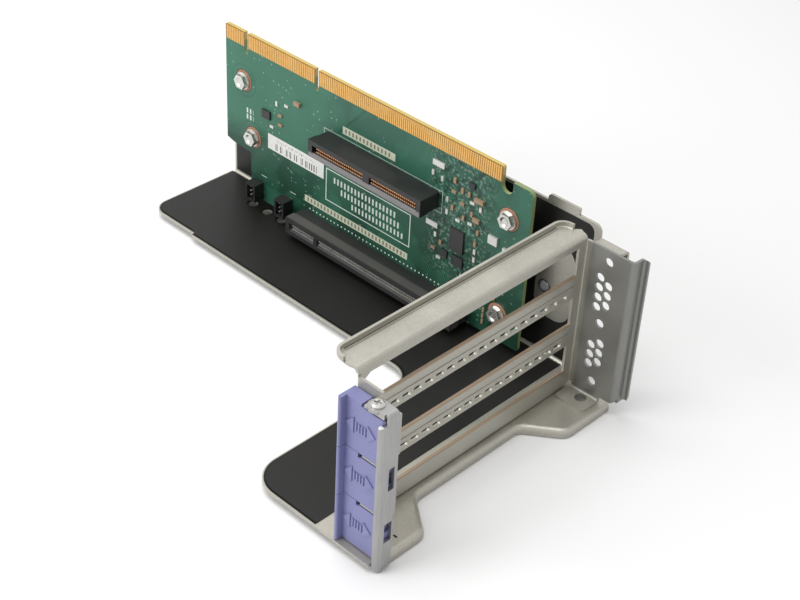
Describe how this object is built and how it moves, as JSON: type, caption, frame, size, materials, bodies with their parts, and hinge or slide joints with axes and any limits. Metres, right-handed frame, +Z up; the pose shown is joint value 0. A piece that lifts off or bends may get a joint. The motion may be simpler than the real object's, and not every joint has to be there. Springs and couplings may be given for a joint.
{
  "type": "riser cage bracket",
  "caption": "Folded steel riser cage with an upright riser board, a windowed card-slot frame and sliding blue card latches.",
  "frame": {"origin": "underside of the base plate, below the outer face of the slot wall and the connector face of the riser board", "axes": "+X along the riser board toward the slot windows, +Y the way cards push in, +Z up from the base plate toward the card edge"},
  "size_m": [0.2118, 0.1268, 0.0775],
  "materials": {
    "cage_steel": "satin",
    "frame_steel": "satin",
    "screw_steel": "bright",
    "black_film": "satin",
    "latch_blue": "satin",
    "board_green": "semi-gloss",
    "gold": "bright",
    "connector_black": "matte",
    "contact_copper": "bright",
    "header_black": "matte",
    "standoff_steel": "satin",
    "chip_black": "matte",
    "capacitor_tan": "matte",
    "resistor_grey": "matte",
    "label_white": "matte"
  },
  "bodies": {
    "cage": {"cage_body": "cage_steel", "base_insulator": "black_film", "wall_insulator": "black_film", "wall_nut": "standoff_steel", "slot_frame": "frame_steel", "slot_rail": "frame_steel", "slot_bars": "frame_steel", "side_flange": "frame_steel", "latch_bracket": "frame_steel", "latch_screw": "screw_steel", "riser_board": "board_green", "edge_contacts_front": "gold", "edge_contacts_rear": "gold", "lower_connector": "connector_black", "lower_contacts": "contact_copper", "upper_connector": "connector_black", "upper_contacts": "contact_copper", "left_header": "header_black", "right_header": "header_black", "header_pins": "gold", "board_screws": "screw_steel", "board_standoffs": "standoff_steel", "buffer_chip": "chip_black", "control_chips": "chip_black", "chip_capacitors": "capacitor_tan", "chip_resistors": "resistor_grey", "blank_label": "label_white"},
    "bottom_latch": {"latch_bottom": "latch_blue"},
    "middle_latch": {"latch_middle": "latch_blue"},
    "top_latch": {"latch_top": "latch_blue"}
  },
  "joints": [
    {"name": "bottom_latch_slide", "type": "slide", "parent": "cage", "child": "bottom_latch", "axis": [-1, 0, 0], "range_m": [0, 0.012]},
    {"name": "middle_latch_slide", "type": "slide", "parent": "cage", "child": "middle_latch", "axis": [-1, 0, 0], "range_m": [0, 0.012]},
    {"name": "top_latch_slide", "type": "slide", "parent": "cage", "child": "top_latch", "axis": [-1, 0, 0], "range_m": [0, 0.012]}
  ]
}
